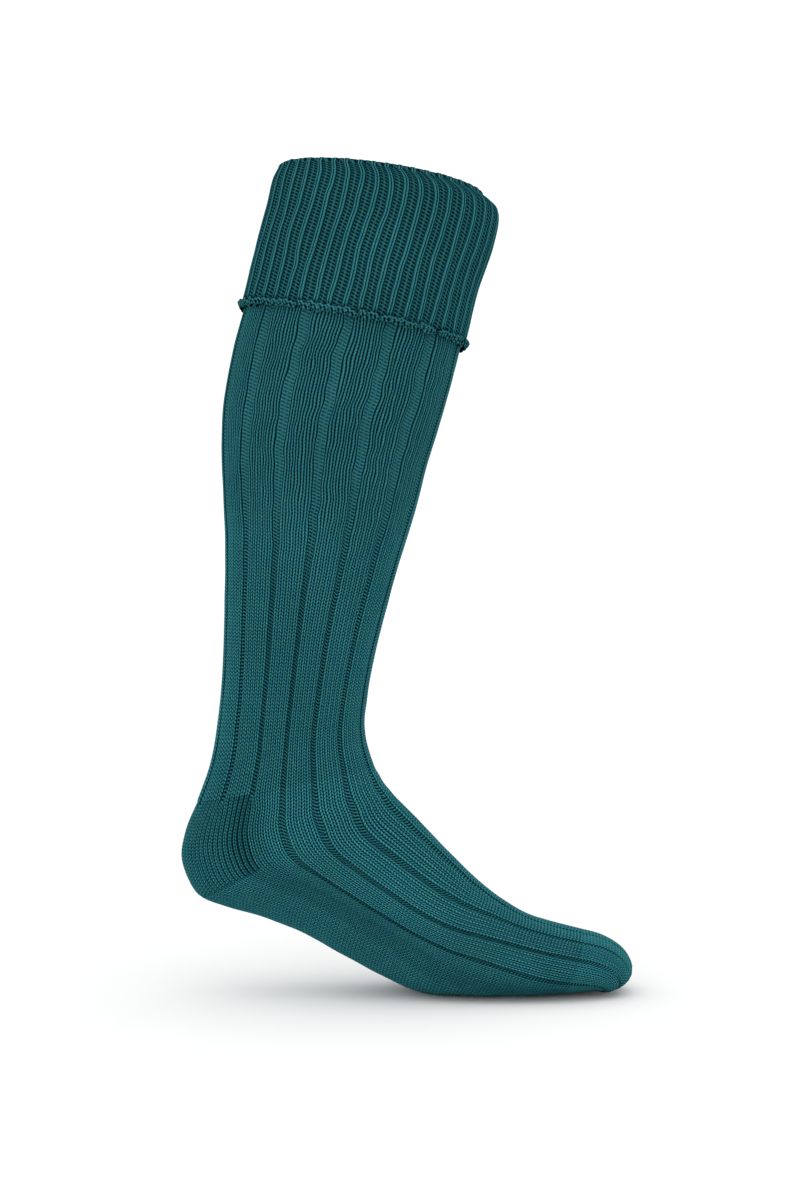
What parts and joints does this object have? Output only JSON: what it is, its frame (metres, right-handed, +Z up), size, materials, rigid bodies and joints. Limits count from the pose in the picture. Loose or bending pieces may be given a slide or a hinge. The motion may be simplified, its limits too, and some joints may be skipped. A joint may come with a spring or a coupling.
{
  "type": "knee-high sock",
  "caption": "Knitted knee-high sock with a turned-over ribbed top, broad-ribbed leg and instep, turned heel and closed toe.",
  "frame": {"origin": "the middle of the sock's mouth, where the leg goes in", "axes": "+X towards the toe, +Z up along the standing leg, +Y to the side, square to the plane that halves the sock"},
  "size_m": [0.2599, 0.1282, 0.4783],
  "materials": {
    "cuff_knit": "teal wool, narrow rib knit",
    "edge_knit": "teal wool, cast-off loops",
    "leg_knit": "teal wool, broad rib knit",
    "heel_knit": "teal wool, plain knit",
    "foot_knit": "teal wool, rib and plain knit",
    "toe_knit": "teal wool, plain knit"
  },
  "bodies": {
    "root": {"cuff": "cuff_knit", "cuff_edge": "edge_knit", "leg": "leg_knit", "heel": "heel_knit", "foot": "foot_knit", "toe": "toe_knit"}
  },
  "joints": []
}
